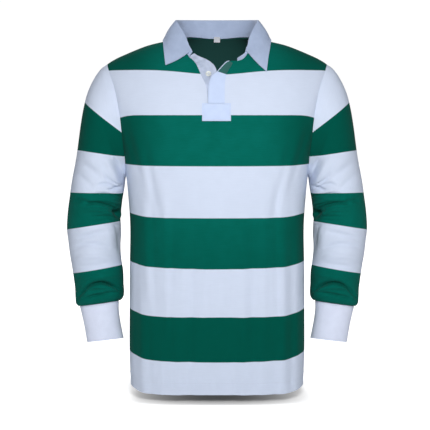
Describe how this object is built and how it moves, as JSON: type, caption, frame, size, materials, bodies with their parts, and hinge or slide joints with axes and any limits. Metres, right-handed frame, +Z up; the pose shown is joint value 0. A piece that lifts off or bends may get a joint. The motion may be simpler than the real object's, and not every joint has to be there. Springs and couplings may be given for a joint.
{
  "type": "long-sleeved rugby polo shirt, worn form",
  "caption": "Hollow worn form of a long-sleeved hooped rugby polo shirt with a folded collar, an open placket with a box patch, and plain cuffs.",
  "frame": {"origin": "midway between the two side neck points, where the shirt hangs on the wearer's shoulders", "axes": "+Z up, +X towards the wearer's left, front faces -Y"},
  "size_m": [0.673, 0.2361, 0.8236],
  "materials": {
    "hooped_jersey": "matt cotton jersey in wide level green and white hoops",
    "white_twill": "matt cool white cotton twill",
    "pearl_button": "polished pearly shirt button",
    "label_tape": "smooth blank white label tape"
  },
  "bodies": {
    "root": {"front": "hooped_jersey", "back": "hooped_jersey", "sleeve_left": "hooped_jersey", "sleeve_right": "hooped_jersey", "cuff_left": "white_twill", "cuff_right": "white_twill", "collar": "white_twill", "neck_tape": "white_twill", "placket_top": "white_twill", "placket_under": "white_twill", "placket_box": "white_twill", "button": "pearl_button", "size_label": "label_tape"}
  },
  "joints": []
}
